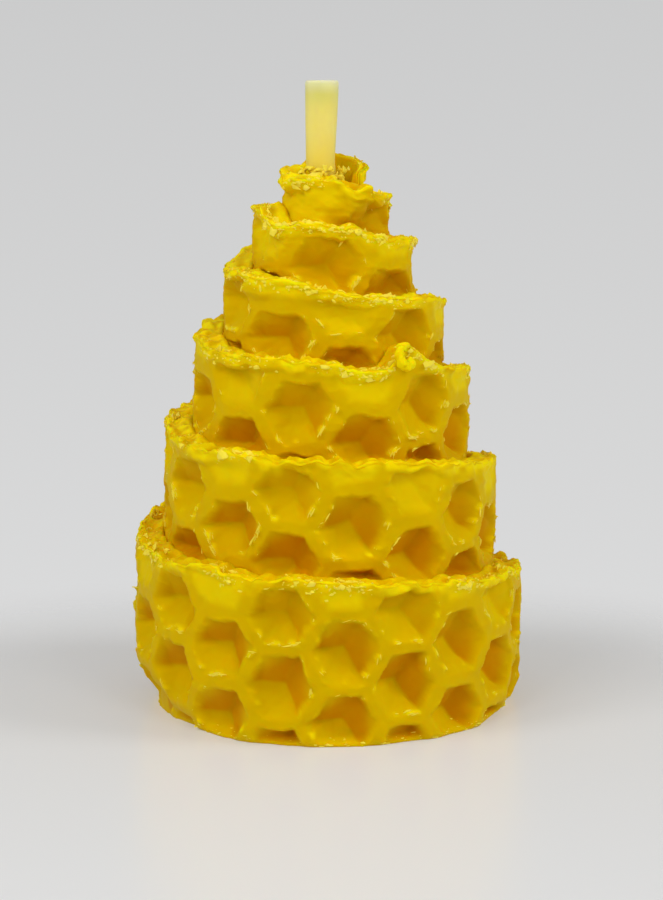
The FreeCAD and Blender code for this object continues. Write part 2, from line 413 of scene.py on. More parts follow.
def face_tint(turn, height):
    """Shares of painted shade, a deep orange, and of pale dry wax, which also paints light on the rim, on
    the sheet's face.
    """
    length = strip_length(turn)
    _, shade_share, burr_and_glint, pressed = cell_relief(turn, height)
    under_rim = rim_height(turn) - height
    above_outside = height - rim_height(turn - 1)
    # Pale dry wax along the torn edge, partly painted light on the rim.
    pale = torn_share(length, under_rim) * np.clip(0.8 + noise(length / 0.8, height / 0.5, 27), 0, 1)
    pale = np.maximum(np.maximum(pale, burr_and_glint), PRESSED_PALE * pressed)
    shade_share = shade_share * opened(length, under_rim) * smoothstep(*TINT_BLEND, height)
    shade_share = shade_share * (1 - THIN_ROLL_LIGHT * smoothstep(*THIN_ROLL, length))
    # Less painted shade near the rim, where the light from above reaches.
    shade_share = shade_share * (1 - NEAR_RIM_LIGHT * (1 - smoothstep(*NEAR_RIM, under_rim)))
    # Painted shade at the foot of each step, just above the turn outside.
    foot = (1 - smoothstep(*STEP_FOOT, above_outside)) * is_covered(turn)
    return shade_share + STEP_FOOT_SHADE * foot * (1 - shade_share), pale


# ---- the strip's mesh ----

COLUMN_STEP = 0.16      # strip length from one ring of points to the next
EXPOSED_ROWS = 72
HIDDEN_ROWS = 4
ARC_ROWS = 5
TOP_ROWS = 7
INNER_ARC_ROWS = 2
INNER_ROWS = 8
BOTTOM_ROWS = 3
LOWEST_COVER = 0.4      # the few hidden rows reach at least this high
COVER_MARGIN = 1.6      # the dense rows start this far below the rim outside
TOP_WAVES = [(0.15, 0.65, 1 / 3, 33), (0.05, 0.25, 1 / 8, 35)]
TOP_RIDGE = 0.25        # height of the ridges on the cut
LOWEST_DRY = 0.55       # share of pale dry wax, partly painted light, that the cut keeps on the lowest tier
LOWEST_TIER = (0.7, 1.1)      # turns over which that tier ends
HOLLOW = 0.32           # how far the cut is sunk in its middle
TOP_HOLLOW = 0.2        # how much less that is on the top tiers
END_SHARES = (0.08, 0.3, 0.5, 0.7, 0.88)  # rings on the torn end, from its middle out


def covered_height(turn):
    """Height up to which the next turn outside hides the strip, less a margin."""
    hidden = straight_rim(turn - 1) - COVER_MARGIN
    covered = smoothstep(1 - TAIL_TURNS + 0.02, 1 - TAIL_TURNS + 0.07, turn)
    return LOWEST_COVER + (hidden - LOWEST_COVER) * covered


def packed_share(turn):
    """1 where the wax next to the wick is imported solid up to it."""
    return smoothstep(*PACKED_START, turn) * (1 - smoothstep(*PACKED_END, turn))


def face_heights(turn):
    """Heights of the rows up the face: a few where the next turn hides it, and many where it shows."""
    cover = covered_height(turn)
    face_top = rim_height(turn) - CORNER_RADIUS
    hidden_share = np.arange(HIDDEN_ROWS)[None, :] / HIDDEN_ROWS
    exposed_share = np.linspace(0, 1, EXPOSED_ROWS)[None, :]
    return np.concatenate([cover * hidden_share, cover + (face_top - cover) * exposed_share], axis=1)


def cut_surface(turn, share):
    """On the cut edge, by share of the way across: rise above the cut, and shares of painted shade in its
    hollows and of dry wax, which also paints light on the cut.
    """
    length = strip_length(turn)
    along = length + 0 * share
    hollow = (HOLLOW - TOP_HOLLOW * top_tier(length)) * np.sin(math.pi * share) ** 2
    hollow = hollow * (0.6 + noise(along / 2.0, share * 1.5, 32))
    crust = layered(TOP_WAVES, along, share)
    crust = crust + TOP_RIDGE * (0.5 - 1.4 * np.abs(noise(along, share * 2.6, 37)))
    # Painted shade in the cut's hollows.
    hollow_shade = np.clip(0.1 + 1.3 * (hollow - crust), 0, 0.65)
    # Pale dry wax on the cut, partly painted light on its top.
    dry_and_lit = np.clip(0.6 + 1.1 * noise(along / 0.5, share * 4, 36), 0, 1)
    dry_and_lit = dry_and_lit * (LOWEST_DRY + (1 - LOWEST_DRY) * smoothstep(*LOWEST_TIER, turn))
    return crust - hollow, hollow_shade, dry_and_lit * (1 - hollow_shade)


def strip_rings():
    """Rings of points round the strip's section, with each point's shares of painted shade (orange) and of
    pale wax (dry wax and painted light).
    """
    start = strip_length(-TAIL_TURNS)
    end = strip_length(ROLLED_TURNS)
    count = int(round((end - start) / COLUMN_STEP))
    turn = turn_at(np.linspace(start, end, count))[:, None]
    length = strip_length(turn)
    top = rim_height(turn)
    radius = face_radius(turn)
    packed = packed_share(turn)
    sheet = thickness(turn) + SWELL
    sheet = sheet + (radius - PACKED_RADIUS - sheet) * packed
    rows = []
    painted_shades = []
    pales = []

    def add(depth_in, height, cavity=0, pale=0):
        rows.append(place(turn, radius - depth_in, height))
        painted_shades.append(cavity + 0 * (height + depth_in))
        pales.append(pale + 0 * (height + depth_in))

    # Up the outer face, with its cells.
    heights = face_heights(turn)
    depth = face_depth(turn, heights)
    inset = np.minimum(base_inset(turn, heights), np.maximum(sheet - THINNEST_WALL - depth, 0))
    add(depth + inset - flap_lean(turn, heights), heights, *face_tint(turn, heights))

    # Round the rim's outer edge.
    rim_depth = depth[:, -1:]
    rim_lean = flap_lean(turn, top)
    turned = (np.arange(1, ARC_ROWS + 1) / ARC_ROWS * math.pi / 2)[None, :]
    along = length + 0 * turned
    rough = 0.07 * noise(along / 0.45, turned * 2.5, 31)
    # Pale dry wax round the edge, partly painted light.
    dry_and_lit = np.clip(0.6 + noise(along / 0.7, turned * 2, 34), 0, 1)
    add(rim_depth - rim_lean + CORNER_RADIUS * (1 - np.cos(turned)) + rough,
        top - CORNER_RADIUS * (1 - np.sin(turned)) + rough, 0, dry_and_lit)

    # Across the cut, and round the rim's inner edge.
    share = np.linspace(0, 1, TOP_ROWS + 2)[None, 1:-1]
    inner_edge = sheet - CORNER_RADIUS
    outer_edge = CORNER_RADIUS + rim_depth
    lift, hollow_shade, dry_and_lit = cut_surface(turn, share)
    across = outer_edge + (inner_edge - outer_edge) * share - rim_lean
    add(across, top + lift + PACKED_RISE * packed * share, hollow_shade, dry_and_lit)
    turned = (np.arange(0, INNER_ARC_ROWS + 1) / INNER_ARC_ROWS * math.pi / 2)[None, :]
    add(inner_edge + CORNER_RADIUS * np.sin(turned) - rim_lean,
        top - CORNER_RADIUS * (1 - np.cos(turned)) + PACKED_RISE * packed)

    # Down the inner face, and back along the base.
    down = (np.arange(1, INNER_ROWS + 1) / INNER_ROWS)[None, :] ** 2
    inner_height = (top - CORNER_RADIUS) * (1 - down)
    add(sheet - flap_lean(turn, inner_height), inner_height)
    share = np.linspace(1, 0, BOTTOM_ROWS + 2)[None, 1:-1]
    start_depth = (depth + inset)[:, :1]
    add(start_depth + (sheet - start_depth) * share, 0 * share + 0 * turn)
    return close_ends(*(np.concatenate(parts, axis=1) for parts in (rows, painted_shades, pales)))


def torn_end(ring, outwards):
    """Rings that close the strip's end with an uneven torn face, from its middle out to the ring."""
    outwards = outwards.mean(axis=0)
    outwards = outwards / np.linalg.norm(outwards)
    middle = ring.mean(axis=0)
    closing = []
    for share in END_SHARES:
        lumps = noise(ring[:, 2] / 1.1 * share, share * 4 + 0 * ring[:, 2], 38)
        swell = 0.12 + 0.16 * lumps * (1 - share)
        closing.append(middle + (ring - middle) * share + outwards * swell[:, None])
    return np.array(closing)


def close_ends(rings, cavity, pale):
    """The rings with their two torn ends added."""
    first = torn_end(rings[0], rings[0] - rings[1])
    last = torn_end(rings[-1], rings[-1] - rings[-2])[::-1]
    extra = len(END_SHARES)
    # The torn ends get half the painted shade.
    half_shade = np.full((extra, cavity.shape[1]), 0.5)
    rings = np.concatenate([first, rings, last])
    cavity = np.concatenate([half_shade, cavity, half_shade])
    pale = np.concatenate([np.repeat(pale[:1], extra, 0), pale, np.repeat(pale[-1:], extra, 0)])
    return rings, cavity, pale


def grid_object(name, material, rings, **shares):
    """A closed mesh from rings of points, with its ends filled. Shares become attributes of its points."""
    columns, points = rings.shape[:2]
    mesh = bpy.data.meshes.new(name)
    index = np.arange(columns * points).reshape(columns, points)
    here = index[:-1]
    after = index[1:]
    quads = np.stack([here, after, np.roll(after, -1, axis=1), np.roll(here, -1, axis=1)], axis=-1)
    quads = quads.reshape(-1, 4)
    ends = [index[0][::-1], index[-1]]
    corners = np.concatenate([quads.ravel()] + ends)
    sizes = np.concatenate([np.full(len(quads), 4), [points, points]])
    starts = np.concatenate([[0], np.cumsum(sizes)[:-1]])
    mesh.vertices.add(columns * points)
    mesh.vertices.foreach_set("co", (rings * MM).astype(np.float32).ravel())
    mesh.loops.add(len(corners))
    mesh.loops.foreach_set("vertex_index", corners.astype(np.int32))
    mesh.polygons.add(len(sizes))
    mesh.polygons.foreach_set("loop_start", starts.astype(np.int32))
    mesh.update(calc_edges=True)
    mesh.validate()
    for share_name, share in shares.items():
        layer = mesh.attributes.new(share_name, "FLOAT", "POINT")
        layer.data.foreach_set("value", share.astype(np.float32).ravel())
    mesh.shade_smooth()
    return linked_piece(name, mesh, material)


def linked_piece(name, mesh, material):
    """An object of the scene made of one mesh and one material."""
    mesh.materials.append(material)
    piece = bpy.data.objects.new(name, mesh)
    bpy.context.collection.objects.link(piece)
    return piece


# ---- crumbs and burrs ----

FLOOR_CLEARANCE = 0.01  # no crumb reaches lower than this
LUMPINESS = 0.85


def blob_shape():
    """Vertices and faces of a small round blank."""
    blank = bmesh.new()
    bmesh.ops.create_icosphere(blank, subdivisions=1, radius=1.0)
    blank.verts.ensure_lookup_table()
    points = np.array([v.co[:] for v in blank.verts])
    faces = np.array([[v.index for v in f.verts] for f in blank.faces])
    blank.free()
    return points, faces


def scatter(name, material, lumps):
    """One mesh of many small lumps, each with its place, its half extents and its axes."""
    blank, faces = blob_shape()
    all_points = []
    all_faces = []
    for i, (middle, size, turned) in enumerate(lumps):
        dents = noise(blank[:, 0] * 1.6 + i * 3.1, blank[:, 1] * 1.6 + blank[:, 2] * 2.3, 41)
        shape = blank * (1 + LUMPINESS * dents)[:, None] * size[None, :]
        lump = shape @ turned.T + middle
        lump[:, 2] = np.maximum(lump[:, 2], FLOOR_CLEARANCE)
        all_points.append(lump)
        all_faces.append(faces + i * len(blank))
    points = np.concatenate(all_points) * MM
    faces = np.concatenate(all_faces)
    mesh = bpy.data.meshes.new(name)
    mesh.from_pydata(points.tolist(), [], faces.tolist())
    return linked_piece(name, mesh, material)


def lump_size(usual, spread, largest):
    """A random size: most are near the usual one, and none is more than largest times it."""
    return usual * min(math.exp(rng.normal(0, spread)), largest)


def half_extents(size, longest, thin, thick, tall=1.0):
    """Half extents of a flake: random length and thickness, and its height."""
    return np.array([size * rng.uniform(*longest), size * rng.uniform(thin, thick), size * tall])


def lying_axes(turn, tilt, slant=0):
    """Axes of a flake at a turn: along the strip, outwards and up, slanted, and tipped at random."""
    facing = Matrix.Rotation(-2 * math.pi * turn - math.pi / 2, 3, "Z") @ Matrix.Rotation(slant, 3, "Y")
    spin = Matrix.Rotation(rng.normal(0, tilt), 3, Vector(rng.normal(size=3)).normalized())
    return np.array(spin @ facing)


def depth_at(turn, height):
    """Depth of the sheet's real face at one point."""
    return float(face_depth(turn, np.array(height)))


def rim_crumbs(count, usual, stretch, tilt):
    """Flakes and crumbs of dry wax along the cut edge, in clusters, on its top and on its face."""
    lumps = []
    length_low = strip_length(-TAIL_TURNS + 0.004)
    length_high = strip_length(ROLLED_TURNS - 0.08)
    while len(lumps) < count:
        length = rng.uniform(length_low, length_high)
        cluster = 0.25 + 1.3 * float(noise(np.array(length / 3.0), np.array(0.0), 51))
        keep = cluster + 0.8 * (length > TOP_TIERS)
        if rng.uniform() > keep:
            continue
        turn = turn_at(length)
        top = float(rim_height(turn))
        size = lump_size(usual, 0.5, 2.0) * (0.8 + 0.5 * min(keep, 1))
        if rng.uniform() < 0.5:
            height = top - 0.3 * size
            across = CORNER_RADIUS + abs(rng.normal(0, 0.6))
        else:
            height = top - CORNER_RADIUS - abs(rng.normal(0, 0.3))
            across = 0
        lean = float(flap_lean(turn, np.array(height)))
        radius = face_radius(turn) - depth_at(turn, height) - across + lean
        extents = half_extents(size, (1.0, stretch), 0.35, 0.7)
        lumps.append((place(turn, radius, height), extents, lying_axes(turn, tilt)))
    return lumps


def base_crumbs(count):
    """Small flakes pressed into the roll's lower outside edge."""
    lumps = []
    for turn in rng.uniform(-TAIL_TURNS + 0.01, 1 - TAIL_TURNS, count):
        height = 0.06 + abs(rng.normal(0, 0.35))
        depth = depth_at(turn, height) + float(base_inset(turn, np.array(height)))
        size = lump_size(0.045, 0.5, 2.0)
        extents = half_extents(size, (1.0, 4.0), 0.4, 0.8, 0.7)
        lumps.append((place(turn, face_radius(turn) - depth, height), extents, lying_axes(turn, 0.3)))
    return lumps


def wick_collar(count):
    """Torn lumps of wax packed round the wick where it leaves the roll."""
    low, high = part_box("wick_coat")
    radius = (high.x - low.x) / 2 / MM
    lumps = []
    for _ in range(count):
        angle = rng.uniform(0, 2 * math.pi)
        behind = max(math.sin(angle), 0)
        height = rng.uniform(39.6, 41.9) - 0.9 * behind
        reach = radius + abs(rng.normal(0.1, 0.3))
        x = (low.x + high.x) / 2 / MM + reach * math.cos(angle)
        y = (low.y + high.y) / 2 / MM + reach * math.sin(angle)
        extents = half_extents(lump_size(0.17, 0.4, 1.8), (1.0, 2.2), 0.6, 1.0)
        lumps.append((np.array([x, y, height]), extents, lying_axes(-angle / (2 * math.pi), 0.9)))
    return lumps


def crest_glint_slivers(count):
    """Thin slivers of dry wax on the edges of the cells, mostly on their lower edges, where they also
    stand in for highlights on the crests.
    """
    tries = 4000
    step = 0.06
    lumps = []
    while len(lumps) < count:
        turn = np.sort(rng.uniform(-TAIL_TURNS + 0.01, ROLLED_TURNS - 0.3, tries))
        bottom = covered_height(turn) + 1.3
        height = bottom + (straight_rim(turn) - 0.3 - bottom) * rng.uniform(0, 1, tries)
        depth, _, burr_and_glint, _ = cell_relief(turn, height)
        area = face_radius(turn) * (straight_rim(turn) - bottom)
        taken = (rng.uniform(0.15, 1.2, tries) < burr_and_glint) & (rng.uniform(0, 90, tries) < area)
        depth_there = face_depth(turn, height)
        up_fall = cell_relief(turn, height + step)[0] - depth
        along_fall = cell_relief(turn_at(strip_length(turn) + step), height)[0] - depth
        edge_slant = np.arctan2(along_fall, up_fall)
        for i in np.nonzero(taken)[0]:
            size = lump_size(0.030, 0.5, 2.0)
            radius = face_radius(turn[i]) - depth_there[i] - float(base_inset(turn[i], height[i])) + 0.02
            extents = half_extents(size, (2.0, 8.0), 0.5, 1.0)
            middle = place(turn[i], radius, height[i])
            lumps.append((middle, extents, lying_axes(turn[i], 0.25, edge_slant[i])))
    return lumps[:count]


# ---- materials ----

WAX_YELLOW = (0.80, 0.525, 0.0001, 1)
# painted shade of the cells' recesses and of the rhombs turned from the light
WAX_PAINTED_SHADE = (0.73, 0.33, 0.0001, 1)
# pale dry wax, which also stands in as painted light on the rim and the crest edges
WAX_DRY_AND_LIT = (0.985, 0.775, 0.002, 1)
CRUMB_YELLOW = (0.97, 0.76, 0.012, 1)
CRUMB_PALE = (0.995, 0.85, 0.09, 1)
WICK_CREAM = (0.985, 0.745, 0.16, 1)
WICK_PALE = (0.99, 0.80, 0.25, 1)
WICK_STAINED = (0.92, 0.66, 0.01, 1)
WICK_WHITISH = (0.99, 0.86, 0.50, 1)
COTTON_DARK = (0.86, 0.76, 0.42, 1)
COTTON_LIGHT = (0.96, 0.92, 0.74, 1)
FLOOR_GREY = (0.60, 0.60, 0.597, 1)
STAIN_HEIGHTS = (44.5, 39.5)      # over these heights the wick turns from cream to the comb's yellow
WHITISH_HEIGHTS = (47.4, 48.6)    # and over these to the whitish of its cut top
FLOOR_FADE = (42, 72)             # distances from the floor's middle over which it fades out


def new_material(name):
    """A material with its node lists, its shader, and the place on the object."""
    material = bpy.data.materials.new(name)
    material.use_nodes = True
    nodes = material.node_tree.nodes
    where = nodes.new("ShaderNodeTexCoord").outputs["Object"]
    return material, nodes, material.node_tree.links, nodes["Principled BSDF"], where


def noise_node(nodes, links, where, scale, detail, rough):
    node = nodes.new("ShaderNodeTexNoise")
    node.inputs["Scale"].default_value = scale
    node.inputs["Detail"].default_value = detail
    node.inputs["Roughness"].default_value = rough
    links.new(where, node.inputs["Vector"])
    return node.outputs["Fac"]


def point_share(nodes, name):
    """One of the shares that the mesh carries at its points."""
    node = nodes.new("ShaderNodeAttribute")
    node.attribute_name = name
    return node.outputs["Fac"]


def colour_mix(nodes, links, share, first, second):
    """From the first colour to the second by a share; the first may come from another node."""
    mix = nodes.new("ShaderNodeMix")
    mix.data_type = "RGBA"
    links.new(share, mix.inputs["Factor"])
    if isinstance(first, tuple):
        mix.inputs["A"].default_value = first
    else:
        links.new(first, mix.inputs["A"])
    mix.inputs["B"].default_value = second
    return mix.outputs["Result"]


def map_range(nodes, links, value, source=(0, 1), target=(0, 1), shape="LINEAR"):
    node = nodes.new("ShaderNodeMapRange")
    node.interpolation_type = shape
    node.inputs["From Min"].default_value, node.inputs["From Max"].default_value = source
    node.inputs["To Min"].default_value, node.inputs["To Max"].default_value = target
    links.new(value, node.inputs["Value"])
    return node.outputs["Result"]


def dented_normal(nodes, links, height, strength, distance, normal=None):
    """The surface's normal with small dents added, which are distance millimetres deep."""
    node = nodes.new("ShaderNodeBump")
    node.inputs["Strength"].default_value = strength
    node.inputs["Distance"].default_value = distance * MM
    links.new(height, node.inputs["Height"])
    if normal is not None:
        links.new(normal, node.inputs["Normal"])
    return node.outputs["Normal"]


def comb_wax():
    """Yellow beeswax: translucent, satin, with painted shade in deeper orange in the cells, paler and
    drier on the edges, where the pale is partly painted light.
    """
    material, nodes, links, shader, where = new_material("comb_wax")
    # Painted shade: the yellow turns orange by the shade share that the mesh carries.
    deep = colour_mix(nodes, links, point_share(nodes, "cavity"), WAX_YELLOW, WAX_PAINTED_SHADE)
    tone = nodes.new("ShaderNodeMix")
    tone.data_type = "RGBA"
    tone.blend_type = "MULTIPLY"
    tone.inputs["Factor"].default_value = 0.12
    links.new(deep, tone.inputs["A"])
    links.new(noise_node(nodes, links, where, 260, 3, 0.55), tone.inputs["B"])
    dry_and_lit = colour_mix(nodes, links, point_share(nodes, "pale"), tone.outputs["Result"], WAX_DRY_AND_LIT)
    links.new(dry_and_lit, shader.inputs["Base Color"])
    shader.inputs["Subsurface Weight"].default_value = 0.6
    shader.inputs["Subsurface Radius"].default_value = (1.0, 0.30, 0.05)
    shader.inputs["Subsurface Scale"].default_value = 0.4 * MM
    shader.inputs["IOR"].default_value = 1.44
    shader.inputs["Specular IOR Level"].default_value = 0.08
    shader.inputs["Specular Tint"].default_value = (1.0, 0.8, 0.1, 1)
    grain = noise_node(nodes, links, where, 2600, 4, 0.6)
    links.new(map_range(nodes, links, grain, target=(0.45, 0.65)), shader.inputs["Roughness"])
    fine = dented_normal(nodes, links, grain, 0.25, 0.08)
    broad = dented_normal(nodes, links, noise_node(nodes, links, where, 900, 2, 0.5), 0.35, 0.15, fine)
    links.new(broad, shader.inputs["Normal"])
    return material


def crumb_wax():
    """Dry crumbs of the same wax: paler."""
    material, nodes, links, shader, where = new_material("crumb_wax")
    patches = noise_node(nodes, links, where, 900, 2, 0.5)
    links.new(colour_mix(nodes, links, patches, CRUMB_YELLOW, CRUMB_PALE), shader.inputs["Base Color"])
    shader.inputs["Specular IOR Level"].default_value = 0.4
    shader.inputs["Roughness"].default_value = 0.35
    return material


def wick_wax():
    """The smooth pale wax on the wick: yellow where it leaves the comb, whitish at its cut top."""
    material, nodes, links, shader, where = new_material("wick_wax")
    split = nodes.new("ShaderNodeSeparateXYZ")
    links.new(where, split.inputs[0])
    colour = colour_mix(nodes, links, noise_node(nodes, links, where, 500, 3, 0.5), WICK_CREAM, WICK_PALE)
    for heights, tint in ((STAIN_HEIGHTS, WICK_STAINED), (WHITISH_HEIGHTS, WICK_WHITISH)):
        start, end = heights
        reach = map_range(nodes, links, split.outputs["Z"], source=(start * MM, end * MM))
        colour = colour_mix(nodes, links, reach, colour, tint)
    links.new(colour, shader.inputs["Base Color"])
    shader.inputs["Subsurface Weight"].default_value = 0.9
    shader.inputs["Subsurface Radius"].default_value = (1.0, 0.9, 0.35)
    shader.inputs["Subsurface Scale"].default_value = 1.6 * MM
    shader.inputs["Specular IOR Level"].default_value = 0.2
    shader.inputs["Roughness"].default_value = 0.4
    ripple = noise_node(nodes, links, where, 1500, 3, 0.5)
    links.new(dented_normal(nodes, links, ripple, 0.3, 0.06), shader.inputs["Normal"])
    return material


def cotton():
    """Waxed cotton of the wick's cord: off-white, with fine fibres along the strands."""
    material, nodes, links, shader, where = new_material("wick_cotton")
    fibres = nodes.new("ShaderNodeMapping")
    fibres.inputs["Scale"].default_value = (6000, 6000, 900)
    links.new(where, fibres.inputs["Vector"])
    grain = noise_node(nodes, links, fibres.outputs["Vector"], 1.0, 3, 0.6)
    links.new(colour_mix(nodes, links, grain, COTTON_DARK, COTTON_LIGHT), shader.inputs["Base Color"])
    shader.inputs["Roughness"].default_value = 0.8
    links.new(dented_normal(nodes, links, grain, 0.6, 0.05), shader.inputs["Normal"])
    return material


def floor_surface():
    """Pale glossy table that fades out into the backdrop."""
    material, nodes, links, shader, where = new_material("studio_floor")
    shader.inputs["Base Color"].default_value = FLOOR_GREY
    shader.inputs["Emission Color"].default_value = (1, 1, 1, 1)
    shader.inputs["Emission Strength"].default_value = 0.19
    shader.inputs["Roughness"].default_value = 0.28
    shader.inputs["Specular IOR Level"].default_value = 0.30
    reach = nodes.new("ShaderNodeVectorMath")
    reach.operation = "LENGTH"
    links.new(where, reach.inputs[0])
    start, end = FLOOR_FADE
    fade = map_range(nodes, links, reach.outputs["Value"], (start * MM, end * MM), (1, 0), "SMOOTHSTEP")
    links.new(fade, shader.inputs["Alpha"])
    return material


# ---- the wick and the curl ----

WICK_BEND = 0.15        # how far the wick's top leans to the right
WICK_START = -0.08      # where its foot stands, from the middle of the CAD wick
WICK_LEAVES = 40        # height where it leaves the comb and starts to lean
WICK_NARROW = 0.86      # its width inside the comb, as a share of that at the top
WICK_SWELLING = (0.22, 40.9, 0.9)  # where it leaves the comb: size, height and half width
WICK_POINTS = 64
STRANDS = 3
STRAND_POINTS = 20
CORD_LEVELS = 240
STRAND_SHARE = 0.46     # a strand's radius as a share of the cord's
STRAND_LAY = 6.0        # height of one turn of the strands
CORD_INSET = 0.02       # how far the strands end below the wick's top

OFF_PATH = (0.31, 0.83, 0.46)  # a direction that no swept path takes

# Sections of the rolled edge: how far along the rim to the right, up from the rim and outwards, and half
# its thickness there.
HOOK = np.array([
    (0.75, 1.50, -0.35, 0.20), (0.15, 1.72, -0.10, 0.30), (-0.42, 1.50, 0.12, 0.33),
    (-0.60, 1.00, 0.25, 0.34), (-0.45, 0.45, 0.33, 0.38), (0.02, 0.12, 0.38, 0.42),
    (0.40, 0.42, 0.34, 0.38), (0.30, 0.95, 0.22, 0.22),
])
HOOK_STEPS = 60
HOOK_SMOOTHING = 6      # steps to each side over which the hook's corners are rounded
HOOK_POINTS = 28
HOOK_TAPER = 4.0        # steps over which its ends narrow
HOOK_TIP = 0.15         # and how much of the thickness is left at a tip


def wick_middle(node, levels):
    """Middle of the wick, in x and in y, at some heights."""
    low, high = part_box(node)
    middle = (low + high) / 2 / MM
    tall = high.z / MM
    x = middle.x + WICK_START + WICK_BEND * smoothstep(WICK_LEAVES, tall, levels)
    return x, middle.y


def wick_sizes(node):
    """Outside radius and height of a CAD node of the wick."""
    low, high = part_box(node)
    return (high.x - low.x) / 2 / MM, high.z / MM


def make_wick(material):
    """The wax coat of the wick: a slightly uneven tube, a little wider at its cut top, round the cord."""
    radius, tall = wick_sizes("wick_coat")
    bore, _ = wick_sizes("wick_core")
    around = np.linspace(0, 2 * math.pi, WICK_POINTS, endpoint=False)[None, :]
    levels = np.concatenate([np.linspace(0, 38, 12), np.linspace(38.2, tall - 0.18, 70)])[:, None]
    width = radius * (WICK_NARROW + (1 - WICK_NARROW) * smoothstep(tall - 7, tall - 0.5, levels))
    width = width * (1 + 0.012 * noise(levels / 1.5 + 0 * around, around, 61))
    size, level, spread = WICK_SWELLING
    width = width + size * bump(levels, level, spread) * (0.6 + noise(around * 1.2, levels, 62))
    cut_top = [
        (width[-1:] - 0.05, tall - 0.05), (width[-1:] - 0.17, tall),
        (0 * around + bore, tall - 0.03), (0 * around + bore, tall - 1.5),
    ]
    width = np.concatenate([width] + [ring for ring, _ in cut_top])
    levels = np.concatenate([levels] + [np.array([[level]]) for _, level in cut_top])
    middle_x, middle_y = wick_middle("wick_coat", levels)
    x = middle_x + width * np.cos(around)
    y = middle_y + width * np.sin(around)
    return grid_object("waxed_wick", material, np.stack([x, y, levels + 0 * x], axis=-1))


def sweep(path, radii, points):
    """Rings of points round a path, each point at its own distance from the path."""
    along = np.gradient(path, axis=0)
    along /= np.linalg.norm(along, axis=1)[:, None]
    side = np.cross(along, OFF_PATH)
    side /= np.linalg.norm(side, axis=1)[:, None]
    other = np.cross(along, side)
    around = np.linspace(0, 2 * math.pi, points, endpoint=False)
    ring = np.cos(around)[None, :, None] * side[:, None] + np.sin(around)[None, :, None] * other[:, None]
    return path[:, None] + ring * radii[..., None]


def make_cord(material):
    """The wick's cord: three twisted strands, seen only at the cut top and at the foot."""
    reach, tall = wick_sizes("wick_core")
    levels = np.linspace(0, tall, CORD_LEVELS)
    middle_x, middle_y = wick_middle("wick_core", levels)
    strand = reach * STRAND_SHARE
    ring = np.linspace(0, 6, STRAND_POINTS)[None, :]
    strands = []
    for number in range(STRANDS):
        turned = 2 * math.pi * (number / STRANDS + levels / STRAND_LAY)
        x = middle_x + (reach - strand) * np.cos(turned)
        y = middle_y + (reach - strand) * np.sin(turned)
        swell = strand * (1 + 0.05 * noise(levels[:, None] * 3 + number * 9, ring, 71))
        rings = sweep(np.stack([x, y, levels], axis=-1), swell, STRAND_POINTS)
        rings[-1, :, 2] = tall - CORD_INSET
        rings[0, :, 2] = 0
        strands.append(grid_object("wick_cord", material, rings))
    return join(strands)


def join(pieces):
    """Join pieces into the first of them."""
    with bpy.context.temp_override(active_object=pieces[0], selected_editable_objects=pieces):
        bpy.ops.object.join()
    return pieces[0]


def smoothed_hook():
    """The hook's sections, filled in between and with their corners rounded."""
    given = np.arange(len(HOOK))
    steps = np.linspace(0, len(HOOK) - 1, HOOK_STEPS)
    filled = np.stack([np.interp(steps, given, column) for column in HOOK.T], axis=1)
    kernel = np.hanning(2 * HOOK_SMOOTHING + 1)
    kernel = kernel / kernel.sum()
    before = np.repeat(filled[:1], HOOK_SMOOTHING, 0)
    after = np.repeat(filled[-1:], HOOK_SMOOTHING, 0)
    padded = np.concatenate([before, filled, after])
    return steps, np.stack([np.convolve(column, kernel, "valid") for column in padded.T], axis=1)


def make_curl(material):
    """The rolled edge of the tongue on the third tier's rim: a tapering hook of wax."""
    turn = np.array(CURL_TURN + 0.004)
    foot = place(turn, face_radius(turn), straight_rim(turn))
    angle = -2 * math.pi * float(turn)
    right = np.array([-math.sin(angle), math.cos(angle), 0])
    outward = np.array([math.cos(angle), math.sin(angle), 0])
    up = np.array([0, 0, 1])
    steps, hook = smoothed_hook()
    path = foot + hook[:, :1] * right + hook[:, 1:2] * up + hook[:, 2:3] * outward
    grid = np.linspace(0, 8, HOOK_POINTS, endpoint=False)[None, :]
    lumpy = 1 + 0.22 * noise(steps[:, None] * 2.2, grid, 81)
    lumpy = lumpy + 0.10 * noise(steps[:, None] * 5, grid * 2, 82)
    from_end = np.minimum(np.arange(HOOK_STEPS) + 1, HOOK_STEPS - np.arange(HOOK_STEPS))
    taper = np.clip(from_end / HOOK_TAPER, HOOK_TIP, 1)
    rings = sweep(path, hook[:, 3:] * lumpy * taper[:, None], HOOK_POINTS)
    dry_and_lit = np.clip(0.85 + 0.9 * noise(steps[:, None] * 2.5, grid, 83), 0, 1)
    return grid_object("rolled_curl", material, rings, cavity=0 * dry_and_lit, pale=dry_and_lit)


# ---- pieces ----

wax = comb_wax()
dry_wax = crumb_wax()

rings, cavity, pale = strip_rings()
strip = grid_object("comb_roll", wax, rings, cavity=cavity, pale=pale)
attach(strip, "root")
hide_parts("comb_strip")

for name, lumps in (
    ("rim_crumbs", rim_crumbs(2400, usual=0.055, stretch=2.6, tilt=0.7)),
    ("rim_flakes", rim_crumbs(380, usual=0.13, stretch=1.8, tilt=0.35)),
    ("base_crumbs", base_crumbs(260)),
    ("wick_collar", wick_collar(160)),
    ("crest_glint_slivers", crest_glint_slivers(1700)),
):
    crumbs = scatter(name, dry_wax, lumps)
    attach(crumbs, "root")

wick = make_wick(wick_wax())
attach(wick, "root")
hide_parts("wick_coat")

cord = make_cord(cotton())
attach(cord, "root")
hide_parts("wick_core")

curl = make_curl(wax)
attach(curl, "root")
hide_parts("rim_curl")


# ---- stage, light and camera ----

